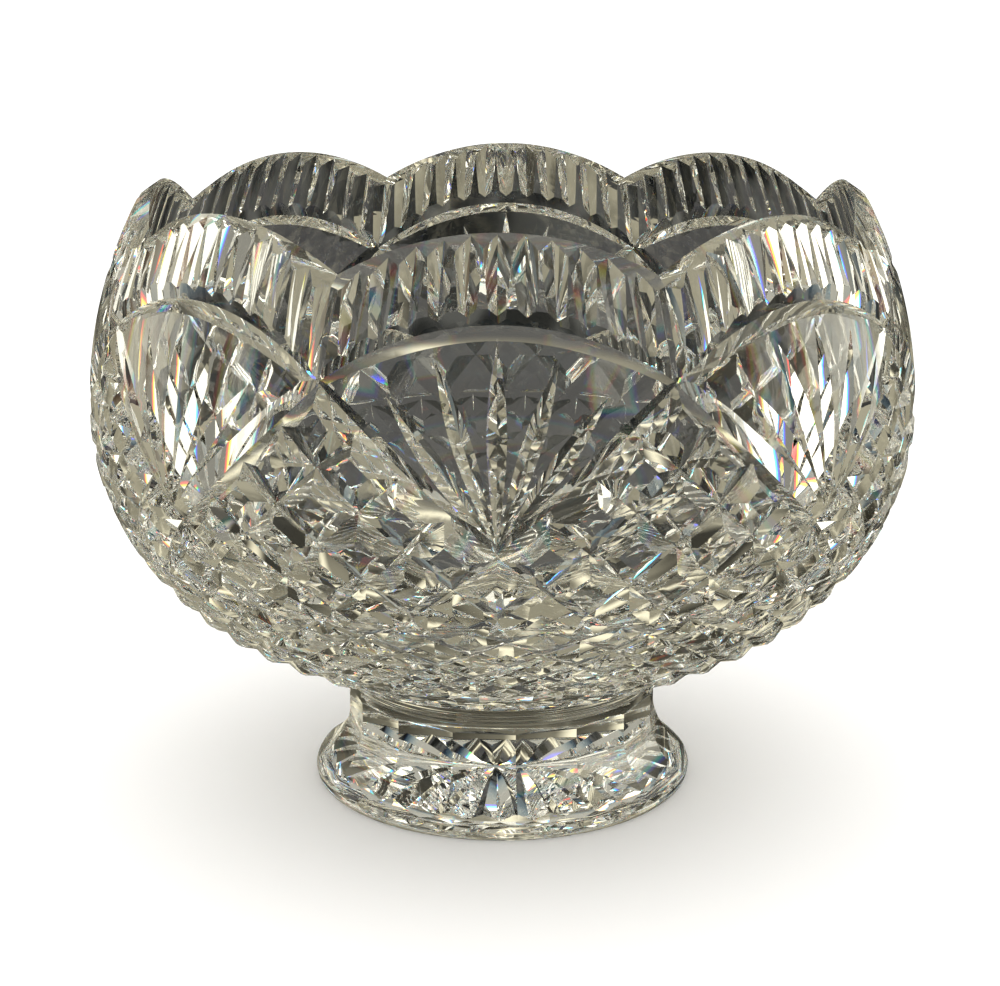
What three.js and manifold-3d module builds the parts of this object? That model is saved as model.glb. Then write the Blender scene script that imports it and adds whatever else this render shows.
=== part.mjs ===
// Footed crystal bowl with a scalloped rim and a deep cut pattern.
//
// Three bodies of glass, joined hot one on top of the other: the foot, the smooth
// wafer that welds the neck, and the bowl. Millimetres, +Z up, origin on the table
// under the middle of the foot. Eight scallops go round the rim, and one of them
// faces -Y. Each scallop carries upright flutes, a swag groove under them, a fan of
// leaf cuts framed by a V of two wide mitres, and a field of mitre-cut diamonds that
// runs down to the mould line. Below it the bowl is quilted with pointed diamonds.
import * as THREE from 'three';
import { mergeVertices, toCreasedNormals } from 'three/addons/utils/BufferGeometryUtils.js';
import Module from 'manifold-3d';

// Foot: a thin round edge, a flare with flat facets and a straight neck, stacked
const FOOT_RADIUS = 60.5;
const FOOT_EDGE = 4.4;
const EDGE_ROUND = 1.6;
const FLARE_HEIGHT = 16.6;
const NECK_RADIUS = 49.4;
const NECK_LENGTH = 11.8;
const FOOT_FACETS = 16;
const FOOT_TURN = 4.7;
const FACET_RUNOUT = 3;
const FLARE_FLATNESS = 0.98;

// Underside of the foot: the ring that it stands on, and a star inside it
const RING_INSET = 3;
const RING_WIDTH = 7;
const DOME_RISE = 3;
const DOME_EDGE = 0.3;
const STAR_RAYS = 32;
const STAR_DEPTH = 1.5;
const STAR_EDGE_DEPTH = 0.75;
const STAR_DEEPEST = 0.6;
const STAR_CENTRE = 0.06;

// Wafer of glass between the foot and the bowl
const WAFER_HEIGHT = 5.2;

// Bowl, outside: part of an ellipse from the neck up to the belly, then an arc.
// Rises are measured from the top of the neck.
const BOWL_HEIGHT = 152.5;
const BELLY_RADIUS = 127;
const BELLY_RISE = 84;
const LOWER_CENTRE = 15;
const SHOULDER_RADIUS = 133;

// Bowl, inside
const WALL = 8.5;
const RIM_WALL = 3;
const FLOOR = 8;
const FLOOR_CENTRE = 13.5;

// Scallops, and the bevel that slopes outwards from their crest
const SECTORS = 8;
const SCALLOP_RISE = 11.6;
const BEVEL_SLOPE = 34;

// Upright flutes under the rim
const FLUTES_PER_SCALLOP = 12;
const FLUTE_DEPTH = 2.3;
const FLUTE_TIP_DEPTH = 1.3;
const FLUTE_ANGLE = 118;

// Swag groove between two junctions, each of which lies under a valley of the rim
const JUNCTION_DROP = 25.9;
const SWAG_RISE = 17.3;
const SWAG_DEPTH = 2.9;
const SWAG_UPPER_WIDTH = 3.8;
const SWAG_LOWER_WIDTH = 4.7;
const SWAG_END_SHARE = 0.4;
const SWAG_END_SHARPNESS = 4;

// Fan of leaf cuts
const RAYS_EACH_SIDE = 2;
const RAY_STEP = 18;
const RAY_FALL = 2.6;
const RAY_HALF_WIDTH = 2.6;
const RAY_DEPTH = 1.9;
const RAY_SWELL = 1.25;
const RAY_ROOT_SHARE = 0.16;
const RAY_TIP_SHARE = 0.05;
const FAN_LIFT = 3.4;
const FAN_TOP_GAP = 5.3;

// Diamonds between the junctions and the mould line
const DIAMONDS_PER_SCALLOP = 4;
const FIELD_ROWS = 6;
const FIELD_DEPTH = 3;
const FIELD_HALF_WIDTH = 5;

// Wide mitres of the V that frames a fan
const FRAME_DEPTH = 4.2;
const FRAME_FAN_WIDTH = 3.9;
const FRAME_FIELD_WIDTH = 6.9;
const JUNCTION_DEPTH = 2.5;

// Mould line, and the pointed diamonds below it that grow longer towards the neck
const MOULD_RISE = 49.5;
const MOULD_BAND = 1.6;
const BASE_ROWS = 9;
const BASE_GROWTH = 1.09;
const BASE_DEPTH = 2.2;
const BASE_END = 14;

// Fineness of the surfaces, and the headroom of the cutters above the glass
const PROFILE_STEPS = 600;
const INNER_RISES = 3;
const INNER_TURNS = 6;
const FLARE_STEPS = 5;
const SWAG_STEPS = 8;
const RAY_STEPS = 4;
const FOOT_SIDES = 48;
const CREASE_ANGLE = 12;
const AIR = 3;
const WELD = 1e-4;

const wasm = await Module();
wasm.setup();

const radians = THREE.MathUtils.degToRad;

// Heights above the table
const flareTop = FOOT_EDGE + FLARE_HEIGHT;
const footTop = flareTop + NECK_LENGTH;
const neckTop = footTop + WAFER_HEIGHT;
const bellyHeight = neckTop + BELLY_RISE;
const mouldHeight = neckTop + MOULD_RISE;
const rimPeak = neckTop + BOWL_HEIGHT;
const rimValley = rimPeak - SCALLOP_RISE;
const junctionHeight = rimValley - JUNCTION_DROP;

// Lower half of the bowl: the outer ellipse meets the neck at its edge
const lowerReach = BELLY_RADIUS - LOWER_CENTRE;
const lowerDrop = BELLY_RISE / Math.sqrt(1 - ((NECK_RADIUS - LOWER_CENTRE) / lowerReach) ** 2);

// Outer radius of the bowl at a height, before any cut
function outerRadius(z) {
  const rise = z - bellyHeight;
  if (rise >= 0) return BELLY_RADIUS - SHOULDER_RADIUS + Math.sqrt(SHOULDER_RADIUS ** 2 - rise ** 2);
  return LOWER_CENTRE + lowerReach * Math.sqrt(1 - (rise / lowerDrop) ** 2);
}

// Inside: an arc from the belly to the rim, and an ellipse from the belly to the floor
const innerBelly = BELLY_RADIUS - WALL;
const innerReach = innerBelly - FLOOR_CENTRE;
const innerDrop = BELLY_RISE - FLOOR;
const shoulderRise = rimPeak - bellyHeight;
const shoulderInset = innerBelly - (outerRadius(rimPeak) - RIM_WALL);
const innerShoulder = (shoulderRise ** 2 + shoulderInset ** 2) / (2 * shoulderInset);

// Inner radius of the bowl at a height
function innerRadius(z) {
  const rise = z - bellyHeight;
  if (rise >= 0) return innerBelly - innerShoulder + Math.sqrt(innerShoulder ** 2 - rise ** 2);
  return FLOOR_CENTRE + innerReach * Math.sqrt(1 - (rise / innerDrop) ** 2);
}

// The outer profile measured along its curve, from the neck upwards
const profile = [];
for (let i = 0; i <= PROFILE_STEPS; i++) {
  const z = neckTop + ((rimPeak + AIR - neckTop) * i) / PROFILE_STEPS;
  const r = outerRadius(z);
  const last = profile.at(-1) ?? { r, z, arc: 0 };
  profile.push({ r, z, arc: last.arc + Math.hypot(r - last.r, z - last.z) });
}

// Stretch of the profile in which a value lies, and how far along the stretch it is
function stretch(key, value) {
  let i = 1;
  while (i < profile.length - 1 && profile[i][key] < value) i++;
  const [a, b] = [profile[i - 1], profile[i]];
  return { a, b, t: (value - a[key]) / (b[key] - a[key]) };
}

// Arc length of the outer profile at a height
function arcAt(z) {
  const { a, b, t } = stretch('z', z);
  return a.arc + (b.arc - a.arc) * t;
}

// Azimuth 0 faces -Y, where one scallop stands, and grows towards +X
function onCircle(r, z, azimuth) {
  const a = radians(azimuth);
  return new THREE.Vector3(r * Math.sin(a), -r * Math.cos(a), z);
}

// Surface point of the bowl and its outward normal, at an azimuth and an arc length
function onBowl(azimuth, arc) {
  const { a, b, t } = stretch('arc', arc);
  const length = b.arc - a.arc;
  return {
    point: onCircle(a.r + (b.r - a.r) * t, a.z + (b.z - a.z) * t, azimuth),
    normal: onCircle((b.z - a.z) / length, (a.r - b.r) / length, azimuth),
  };
}

// Triangles between successive rings of equal count. Each quad folds along the
// diagonal that lies nearer the axis.
function between(rings) {
  const fromAxis = (p, q) => Math.hypot(p.x + q.x, p.y + q.y);
  const triangles = [];
  for (let i = 0; i + 1 < rings.length; i++) {
    for (let j = 0; j < rings[i].length; j++) {
      const k = (j + 1) % rings[i].length;
      const [a, b, c, d] = [rings[i][j], rings[i][k], rings[i + 1][k], rings[i + 1][j]];
      if (fromAxis(a, c) <= fromAxis(b, d)) triangles.push([a, b, c], [a, c, d]);
      else triangles.push([a, b, d], [b, c, d]);
    }
  }
  return triangles;
}

// Flat end that closes a ring, which is the first or the last of its loft
function cap(ring, isFirst) {
  const triangles = [];
  for (let j = 1; j + 1 < ring.length; j++) {
    const [b, c] = isFirst ? [ring[j + 1], ring[j]] : [ring[j], ring[j + 1]];
    triangles.push([ring[0], b, c]);
  }
  return triangles;
}

// Closed solid from rings, with flat ends
function loft(rings) {
  return weld([...between(rings), ...cap(rings[0], true), ...cap(rings.at(-1), false)]);
}

// Solid from triangles of points, their equal corners made one and empty ones left out
function weld(triangles) {
  const apart = (p, q) => p.distanceTo(q) > WELD;
  const real = triangles.filter(([p, q, r]) => apart(p, q) && apart(q, r) && apart(r, p));
  const positions = real.flat().flatMap((p) => [p.x, p.y, p.z]);
  const geometry = new THREE.BufferGeometry();
  geometry.setAttribute('position', new THREE.Float32BufferAttribute(positions, 3));
  return solid(mergeVertices(geometry, WELD));
}

// Manifold solid from an indexed geometry, turned right side out where needed
function solid(geometry) {
  const vertProperties = Float32Array.from(geometry.attributes.position.array);
  const triVerts = Uint32Array.from(geometry.index.array);
  const corner = (i) => new THREE.Vector3().fromArray(vertProperties, 3 * triVerts[i]);
  let volume = 0;
  for (let i = 0; i < triVerts.length; i += 3) {
    volume += corner(i).dot(corner(i + 1).cross(corner(i + 2)));
  }
  if (volume < 0) triVerts.reverse();
  return new wasm.Manifold(new wasm.Mesh({ numProp: 3, vertProperties, triVerts }));
}

// A profile of [radius, height] pairs turned about Z, its first corner at an azimuth
function turned(points, sides, firstAzimuth) {
  const outline = points.map(([r, z]) => new THREE.Vector2(r, z));
  const geometry = new THREE.LatheGeometry(outline, sides);
  geometry.rotateX(Math.PI / 2);
  geometry.rotateZ(radians(firstAzimuth));
  geometry.deleteAttribute('normal');
  geometry.deleteAttribute('uv');
  return solid(mergeVertices(geometry, WELD));
}

// V-shaped groove along stations. A station has a surface point, its normal and the
// depth of the bottom line there. The walls open by leftSlope and rightSlope
// millimetres for each millimetre of depth.
function groove(stations, leftSlope, rightSlope) {
  return loft(stations.map((s, i) => {
    const before = stations[Math.max(0, i - 1)].point;
    const after = stations[Math.min(stations.length - 1, i + 1)].point;
    const along = after.clone().sub(before).normalize();
    const side = new THREE.Vector3().crossVectors(s.normal, along).normalize();
    const height = s.depth + AIR;
    const bottom = s.point.clone().addScaledVector(s.normal, -s.depth);
    const top = s.point.clone().addScaledVector(s.normal, AIR);
    const left = top.clone().addScaledVector(side, leftSlope * height);
    const right = top.clone().addScaledVector(side, -rightSlope * height);
    return [bottom, left, right];
  }));
}

const sectorAngle = 360 / SECTORS;
const columns = 2 * DIAMONDS_PER_SCALLOP * SECTORS;
const columnAngle = 360 / columns;
const junctionArc = arcAt(junctionHeight);
const mouldArc = arcAt(mouldHeight);
const rowStep = (junctionArc - mouldArc) / FIELD_ROWS;
const apexArc = junctionArc - DIAMONDS_PER_SCALLOP * rowStep;
const rayLength = junctionArc + SWAG_RISE - FAN_TOP_GAP - apexArc - FAN_LIFT;

// Height of the rim's crest at an azimuth: one arc from valley to valley
function crest(azimuth) {
  const half = sectorAngle / 2;
  const away = Math.abs(((azimuth % sectorAngle) + sectorAngle + half) % sectorAngle - half);
  const chord = radians(half) * innerRadius(rimValley);
  const radius = (chord ** 2 + SCALLOP_RISE ** 2) / (2 * SCALLOP_RISE);
  const x = radians(away) * innerRadius(rimValley);
  return rimPeak - radius + Math.sqrt(radius ** 2 - x ** 2);
}

// Everything above the scalloped crest: level inside the crest, a bevel outside it
function rimCutter() {
  const steps = FLUTES_PER_SCALLOP * SECTORS;
  const near = innerBelly / 2;
  const far = BELLY_RADIUS + WALL;
  const slope = Math.tan(radians(BEVEL_SLOPE));
  const sections = [];
  for (let i = 0; i < steps; i++) {
    const azimuth = (i * 360) / steps;
    const z = crest(azimuth);
    const r = innerRadius(z);
    sections.push([
      onCircle(near, z, azimuth),
      onCircle(r, z, azimuth),
      onCircle(far, z + slope * (r - far), azimuth),
      onCircle(far, rimPeak + far, azimuth),
      onCircle(near, rimPeak + far, azimuth),
    ]);
  }
  return weld(between([...sections, sections[0]]));
}

// Arc length at which the swag's bottom line runs, at an azimuth from its middle
function swagArc(azimuth) {
  const junctionRadius = outerRadius(junctionHeight);
  const chord = radians(sectorAngle / 2) * junctionRadius;
  const radius = (chord ** 2 + SWAG_RISE ** 2) / (2 * SWAG_RISE);
  const x = Math.min(chord, radians(Math.abs(azimuth)) * junctionRadius);
  return junctionArc + SWAG_RISE - radius + Math.sqrt(radius ** 2 - x ** 2);
}

function swag() {
  const stations = [];
  for (let i = 0; i <= SWAG_STEPS; i++) {
    const t = (2 * i) / SWAG_STEPS - 1;
    const azimuth = (t * sectorAngle) / 2;
    const share = 1 - (1 - SWAG_END_SHARE) * t ** SWAG_END_SHARPNESS;
    stations.push({ ...onBowl(azimuth, swagArc(azimuth)), depth: SWAG_DEPTH * share });
  }
  return groove(stations, SWAG_UPPER_WIDTH / SWAG_DEPTH, SWAG_LOWER_WIDTH / SWAG_DEPTH);
}

// One upright flute: full depth at the rim, shallower at its tip on the swag
function flute(azimuth) {
  const slope = Math.tan(radians(FLUTE_ANGLE / 2));
  const tip = { ...onBowl(azimuth, swagArc(azimuth)), depth: FLUTE_TIP_DEPTH };
  const top = { ...onBowl(azimuth, arcAt(rimPeak + AIR)), depth: FLUTE_DEPTH };
  return groove([tip, top], slope, slope);
}

// One leaf of the fan, pointed at both ends and widest above its middle. Its number is
// 0 for the upright leaf and grows to the right.
function leaf(number) {
  const angle = radians(number * RAY_STEP);
  const length = rayLength - RAY_FALL * Math.abs(number);
  const stations = [];
  for (let i = 0; i <= RAY_STEPS; i++) {
    const t = i / RAY_STEPS;
    const swell = Math.sin(Math.PI * t ** RAY_SWELL) + RAY_ROOT_SHARE * (1 - t);
    const arc = apexArc + FAN_LIFT + length * t * Math.cos(angle);
    const { point } = onBowl(0, arc);
    const azimuth = THREE.MathUtils.radToDeg((length * t * Math.sin(angle)) / Math.hypot(point.x, point.y));
    stations.push({ ...onBowl(azimuth, arc), depth: RAY_DEPTH * Math.max(RAY_TIP_SHARE, swell) });
  }
  return groove(stations, RAY_HALF_WIDTH / RAY_DEPTH, RAY_HALF_WIDTH / RAY_DEPTH);
}

// Point in the lattice of the diamonds: columns of half a diamond round the bowl, rows
// downwards from the junctions
function latticePoint(column, row, depth) {
  const { point, normal } = onBowl(column * columnAngle, junctionArc - row * rowStep);
  return point.addScaledVector(normal, -depth);
}

// Place in the lattice next to the V that frames each fan, which runs from the junctions
// down to the apex: 0 on the V, less inside the fan and more outside it
function pastFrame(column, row) {
  const half = DIAMONDS_PER_SCALLOP;
  const shifted = ((column % (2 * half)) + 3 * half) % (2 * half);
  return Math.abs(shifted - half) + row - half;
}

// Crossing of two mitres. There is none inside a fan.
function crossing(column, row) {
  const past = pastFrame(column, row);
  if (past < 0) return latticePoint(column, row, 0);
  if (row === 0) return latticePoint(column, row, JUNCTION_DEPTH);
  return latticePoint(column, row, past === 0 ? FRAME_DEPTH : FIELD_DEPTH);
}

// Width of a cell's wall along the mitre between two crossings, in parts of half a cell
function wallShare(inFan, [columnA, rowA], [columnB, rowB]) {
  const columnWidth = radians(columnAngle) * BELLY_RADIUS;
  const halfCell = (columnWidth * rowStep) / Math.hypot(columnWidth, rowStep);
  const onFrame = pastFrame(columnA, rowA) === 0 && pastFrame(columnB, rowB) === 0;
  if (onFrame) return (inFan ? FRAME_FAN_WIDTH : FRAME_FIELD_WIDTH) / halfCell;
  return inFan ? 0 : FIELD_HALF_WIDTH / halfCell;
}

// Skin of the field from the junctions down to the mould line. Each cell has a flat
// diamond in its middle, and four walls that slope down to the crossings round it. The
// first and the last row have half cells, which meet the plain rings above and below.
function field(above, below) {
  const triangles = [];
  for (let row = 0; row <= FIELD_ROWS; row++) {
    for (let c = (row + DIAMONDS_PER_SCALLOP + 1) % 2; c < columns; c += 2) {
      const inFan = pastFrame(c, row) < 0;
      const farLeft = crossing(c - 1, row);
      const farRight = crossing(c + 1, row);
      const wall = (side, way) => wallShare(inFan, [c + side, row], [c, row + way]);
      const corner = (side) => {
        const [up, down] = [wall(side, -1), wall(side, 1)];
        return latticePoint(c + side * (1 - (up + down) / 2), row + (up - down) / 2, 0);
      };
      const [left, right] = [corner(-1), corner(1)];
      for (const way of [-1, 1]) {
        const half = [];
        if (row + way < 0 || row + way > FIELD_ROWS) {
          const ring = way < 0 ? above : below;
          const [a, b, d] = [-1, 0, 1].map((i) => ring[(c + i + columns) % columns]);
          half.push([b, a, farLeft], [b, farLeft, left], [b, left, right]);
          half.push([b, right, farRight], [b, farRight, d]);
        } else {
          const [toLeft, toRight] = [wall(-1, way), wall(1, way)];
          const tipRow = row + way * (1 - (toLeft + toRight) / 2);
          const tip = latticePoint(c + (toLeft - toRight) / 2, tipRow, 0);
          const farTip = crossing(c, row + way);
          half.push([left, right, tip], [farLeft, left, tip], [farLeft, tip, farTip]);
          half.push([farRight, farTip, tip], [farRight, tip, right]);
        }
        for (const [p, q, r] of half) triangles.push(way < 0 ? [p, q, r] : [p, r, q]);
      }
    }
  }
  return triangles;
}

// Plain ring of the body
function plainRing(r, z) {
  const ring = [];
  for (let c = 0; c < columns; c++) ring.push(onCircle(r, z, c * columnAngle));
  return ring;
}

// Rings of the quilt below the mould line: valleys and points take turns along each
// ring and from ring to ring, so the valleys join into crossing mitres
function quilt() {
  const rings = [];
  const start = mouldArc - MOULD_BAND;
  const unit = (start - BASE_END) / (BASE_GROWTH ** BASE_ROWS - 1);
  for (let row = BASE_ROWS; row >= 0; row--) {
    const arc = start - unit * (BASE_GROWTH ** row - 1);
    const ring = [];
    for (let c = 0; c < columns; c++) {
      const { point, normal } = onBowl(c * columnAngle, arc);
      const valley = row > 0 && row < BASE_ROWS && (c + row) % 2 === 1;
      ring.push(point.addScaledVector(normal, valley ? -BASE_DEPTH : 0));
    }
    rings.push(ring);
  }
  return rings;
}

// Body of the bowl before the cuts above the junctions: from the neck up the outside,
// over the rim and down the inside
function bowlBody() {
  const top = rimPeak + AIR;
  const lower = [plainRing(NECK_RADIUS, neckTop), ...quilt()];
  const upper = [junctionArc + rowStep, junctionArc + 2 * rowStep, arcAt(top)].map((arc) => {
    const { point } = onBowl(0, arc);
    return plainRing(-point.y, point.z);
  });
  const skin = [...between(lower), ...field(upper[0], lower.at(-1))];
  for (let i = 0; i < INNER_RISES; i++) {
    const z = top - ((top - bellyHeight) * i) / INNER_RISES;
    upper.push(plainRing(innerRadius(z), z));
  }
  for (let i = 0; i <= INNER_TURNS; i++) {
    const z = bellyHeight - innerDrop * Math.sin((Math.PI / 2) * (i / INNER_TURNS));
    upper.push(plainRing(innerRadius(z), z));
  }
  return weld([...cap(lower[0], true), ...skin, ...between(upper), ...cap(upper.at(-1), false)]);
}

function bowl() {
  const sector = [swag()];
  for (let i = 0; i < FLUTES_PER_SCALLOP; i++) {
    sector.push(flute(sectorAngle * (i / FLUTES_PER_SCALLOP - 0.5)));
  }
  for (let number = -RAYS_EACH_SIDE; number <= RAYS_EACH_SIDE; number++) sector.push(leaf(number));
  let body = bowlBody().subtract(rimCutter());
  for (let k = 0; k < SECTORS; k++) {
    for (const cutter of sector) body = body.subtract(cutter.rotate([0, 0, k * sectorAngle]));
  }
  return body;
}

// Flare of the foot: a quarter of an ellipse from the neck down to the edge
function flareRadius(z) {
  const t = (flareTop - z) / FLARE_HEIGHT;
  const reach = FOOT_RADIUS - NECK_RADIUS;
  return FOOT_RADIUS - reach * Math.sqrt(1 - FLARE_FLATNESS * t ** 2);
}

// Hollow under the foot, a low dome whose surface is folded into the rays of a star
function star() {
  const radius = FOOT_RADIUS - RING_INSET - RING_WIDTH;
  const ring = (share, fold) => {
    const points = [];
    for (let i = 0; i < 2 * STAR_RAYS; i++) {
      const dome = DOME_EDGE + (DOME_RISE - DOME_EDGE) * (1 - share ** 2);
      const z = i % 2 === 0 ? dome + fold : dome;
      points.push(onCircle(radius * share, z, FOOT_TURN + (i * 180) / STAR_RAYS));
    }
    return points;
  };
  const below = ring(1, 0).map((p) => new THREE.Vector3(p.x, p.y, -AIR));
  return loft([below, ring(1, STAR_EDGE_DEPTH), ring(STAR_DEEPEST, STAR_DEPTH), ring(STAR_CENTRE, 0)]);
}

// Foot: a round turned body trimmed by a facetted one, so the facets run down the neck
// and the flare and leave the edge round
function foot() {
  const ringOuter = FOOT_RADIUS - RING_INSET;
  const round = [
    [0, 0],
    [ringOuter, 0],
    [FOOT_RADIUS, FOOT_EDGE - EDGE_ROUND],
    [FOOT_RADIUS - EDGE_ROUND, FOOT_EDGE + EDGE_ROUND],
  ];
  const facets = [[0, -AIR], [FOOT_RADIUS + AIR, -AIR], [FOOT_RADIUS + AIR, FOOT_EDGE]];
  for (let i = 0; i <= FLARE_STEPS; i++) {
    const z = FOOT_EDGE + (FLARE_HEIGHT * i) / FLARE_STEPS;
    facets.push([flareRadius(z), z]);
  }
  const corner = 1 / Math.cos(Math.PI / FOOT_FACETS);
  round.push([NECK_RADIUS, footTop - FACET_RUNOUT], [NECK_RADIUS, footTop], [0, footTop]);
  facets.push([NECK_RADIUS, footTop - FACET_RUNOUT]);
  facets.push([NECK_RADIUS * corner + AIR, footTop + AIR], [0, footTop + AIR]);
  const body = turned(round, FOOT_SIDES, FOOT_TURN).intersect(turned(facets, FOOT_FACETS, FOOT_TURN));
  return body.subtract(star());
}

function wafer() {
  const outline = [[0, footTop], [NECK_RADIUS, footTop], [NECK_RADIUS, neckTop], [0, neckTop]];
  return turned(outline, FOOT_SIDES, FOOT_TURN);
}

// three.js mesh of a finished solid, smooth across its curves and crisp at its cuts
function glass(name, body, color) {
  const { vertProperties, triVerts } = body.getMesh();
  const geometry = new THREE.BufferGeometry();
  geometry.setAttribute('position', new THREE.BufferAttribute(Float32Array.from(vertProperties), 3));
  geometry.setIndex(new THREE.BufferAttribute(Uint32Array.from(triVerts), 1));
  const material = new THREE.MeshStandardMaterial({ color, roughness: 0.03, metalness: 0 });
  const mesh = new THREE.Mesh(toCreasedNormals(geometry, radians(CREASE_ANGLE)), material);
  mesh.name = name;
  return mesh;
}

const part = new THREE.Group();
part.add(glass('bowl', bowl(), 0xcfcdc4));
part.add(glass('neck_wafer', wafer(), 0xbdb9ac));
part.add(glass('foot', foot(), 0xd9d5c8));

export default part;
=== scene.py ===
# Looks of a footed cut crystal bowl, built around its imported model. Lengths are in
# millimetres until a mesh or a shader takes them. Azimuth 0 faces -Y and grows towards +X.
import math

import bpy
import numpy as np
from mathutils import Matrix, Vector


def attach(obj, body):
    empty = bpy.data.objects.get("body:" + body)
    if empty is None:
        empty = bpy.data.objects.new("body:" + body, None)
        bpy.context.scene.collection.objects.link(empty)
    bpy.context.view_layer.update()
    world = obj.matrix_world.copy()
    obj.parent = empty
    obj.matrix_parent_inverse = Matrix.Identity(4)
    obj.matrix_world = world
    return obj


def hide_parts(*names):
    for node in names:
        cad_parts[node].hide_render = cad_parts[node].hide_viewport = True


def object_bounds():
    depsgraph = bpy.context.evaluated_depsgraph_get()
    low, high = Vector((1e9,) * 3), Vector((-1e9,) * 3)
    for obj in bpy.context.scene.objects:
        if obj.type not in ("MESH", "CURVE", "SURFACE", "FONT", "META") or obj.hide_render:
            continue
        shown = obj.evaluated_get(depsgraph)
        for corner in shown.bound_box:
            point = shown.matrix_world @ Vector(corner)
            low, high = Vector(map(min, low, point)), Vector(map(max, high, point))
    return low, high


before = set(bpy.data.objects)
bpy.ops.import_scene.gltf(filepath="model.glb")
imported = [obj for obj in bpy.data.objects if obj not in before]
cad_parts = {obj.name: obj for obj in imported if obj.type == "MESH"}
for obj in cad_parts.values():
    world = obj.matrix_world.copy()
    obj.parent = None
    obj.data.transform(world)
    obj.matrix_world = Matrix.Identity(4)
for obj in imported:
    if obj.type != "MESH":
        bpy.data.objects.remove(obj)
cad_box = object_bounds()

MM = 0.001

# Foot
FOOT_RADIUS = 60.5
FOOT_EDGE = 4.4
EDGE_ROUND = 1.6
EDGE_ROUND_SHARE = 0.3
EDGE_INSET = 1.2
FLARE_HEIGHT = 16.6
FLARE_POWER = 1.5
NECK_RADIUS = 49.4
NECK_LENGTH = 11.8
FOOT_FACETS = 16
FOOT_TURN = 5.35
FACET_RUNOUT = 3.0

# Hollow under the foot, a low dome folded into a star inside the flat ring it stands on
RING_INSET = 3.0
RING_WIDTH = 7.0
DOME_RISE = 3.0
DOME_EDGE = 0.3
STAR_RAYS = 32
STAR_DEPTH = 2.0
STAR_EDGE_DEPTH = 3.0
STAR_DEEPEST = 0.6
STAR_CENTRE = 0.06

# Wafer between bowl and foot, with the shallow rings that turning leaves in hot glass
WAFER_HEIGHT = 5.2
WAFER_RINGS = 4
WAFER_RING_DEPTH = 0.05
WELD_GAP = 0.02

# Bowl, its rises measured from the top of the wafer
BOWL_HEIGHT = 152.5
BELLY_RISE = 84.0
LOWER_CENTRE = 15.0
UNDER_HOLLOW = 2.3
UNDER_REACH = 24.0
SHOULDER_RADIUS = 133.0
WALL = 8.5
RIM_WALL = 3.0
FLOOR = 8.0
FLOOR_CENTRE = 13.5
BOX_MARGIN = 0.02

# Scallops, flutes and swags
SECTORS = 8
SCALLOP_RISE = 11.6
BEVEL_SLOPE = 34.0
FLUTES_PER_SCALLOP = 12
FLUTE_DEPTH = 2.3
FLUTE_TIP_DEPTH = 1.3
FLUTE_ANGLE = 118.0
FLUTE_LIFT = 1.8
JUNCTION_DROP = 25.9
SWAG_RISE = 17.3
SWAG_DEPTH = 2.9
SWAG_UPPER_WIDTH = 3.8
SWAG_LOWER_WIDTH = 4.7
SWAG_END_SHARE = 0.4
SWAG_END_SHARPNESS = 4

# Fans of leaves
LEAVES_EACH_SIDE = 2
LEAF_STEP = 18.0
LEAF_FALL = 2.6
LEAF_HALF_WIDTH = 2.5
LEAF_DEPTH = 2.3
LEAF_SWELL = 1.25
LEAF_ROOT_SHARE = 0.16
LEAF_TIP_SHARE = 0.03
FAN_LIFT = 3.4
FAN_TOP_GAP = 5.3

# Diamonds above the mould line, and the wide mitres that frame the fans
DIAMONDS_PER_SCALLOP = 4
FIELD_ROWS = 6
FIELD_DEPTH = 3.0
FIELD_HALF_WIDTH = 5.0
FRAME_DEPTH = 4.2
FRAME_FAN_WIDTH = 3.9
FRAME_FIELD_WIDTH = 6.9
JUNCTION_DEPTH = 2.5

# Mould line, and the diamonds and ticks below it
MOULD_RISE = 49.5
MOULD_BAND = 1.6
MOULD_LINE_DEPTH = 0.5
MOULD_LINE_WIDTH = 0.5
BASE_COLUMNS = 72
BASE_ROWS = 10
BASE_GROWTH = 1.03
BASE_SHARE = 0.9
BASE_SLOPE = 3.0
BASE_RUNOUT_ROWS = 0.9
BASE_END_SHARE = 0.02
BASE_END = 14.0
BASE_TURN = 1.3
TICK_LENGTH = 6.0
TICK_DEPTH = 0.4
TICK_END_DEPTH = 0.02
TICK_SLOPE = 0.45

# Fineness of the meshes. Solids that cut reach past the surface by AIR, and turned solids
# close at the axis with a small flat cap.
AIR = 1.2
CAP_RADIUS = 1.0
TURN_STEPS = 192
PROFILE_STEPS = 3000
RING_SPACING = 3.0
GROOVE_SPACING = 3.0
CREST_STEPS_PER_FLUTE = 6
INNER_WALL_STEPS = 40
INNER_BASE_STEPS = 50
FLOOR_RING_SHARES = (0.75, 0.5, 0.25, 0.05)
BASE_STEPS_PER_ROW = 5
TICK_STEPS = 5
EDGE_STEPS = 7
FLARE_STEPS = 28
WAFER_STEPS_PER_RING = 12
CREASE_ANGLE = 14.0
LEVEL_NORMAL = 0.999

# Crystal. Each ripple of its polish has a size, a height and a detail.
CRYSTAL_COLOR = (0.985, 0.983, 0.975)
CRYSTAL_IOR = 1.545
RIPPLES = ((12.0, 0.014, 1.0), (1.8, 0.0005, 2.0))

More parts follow.
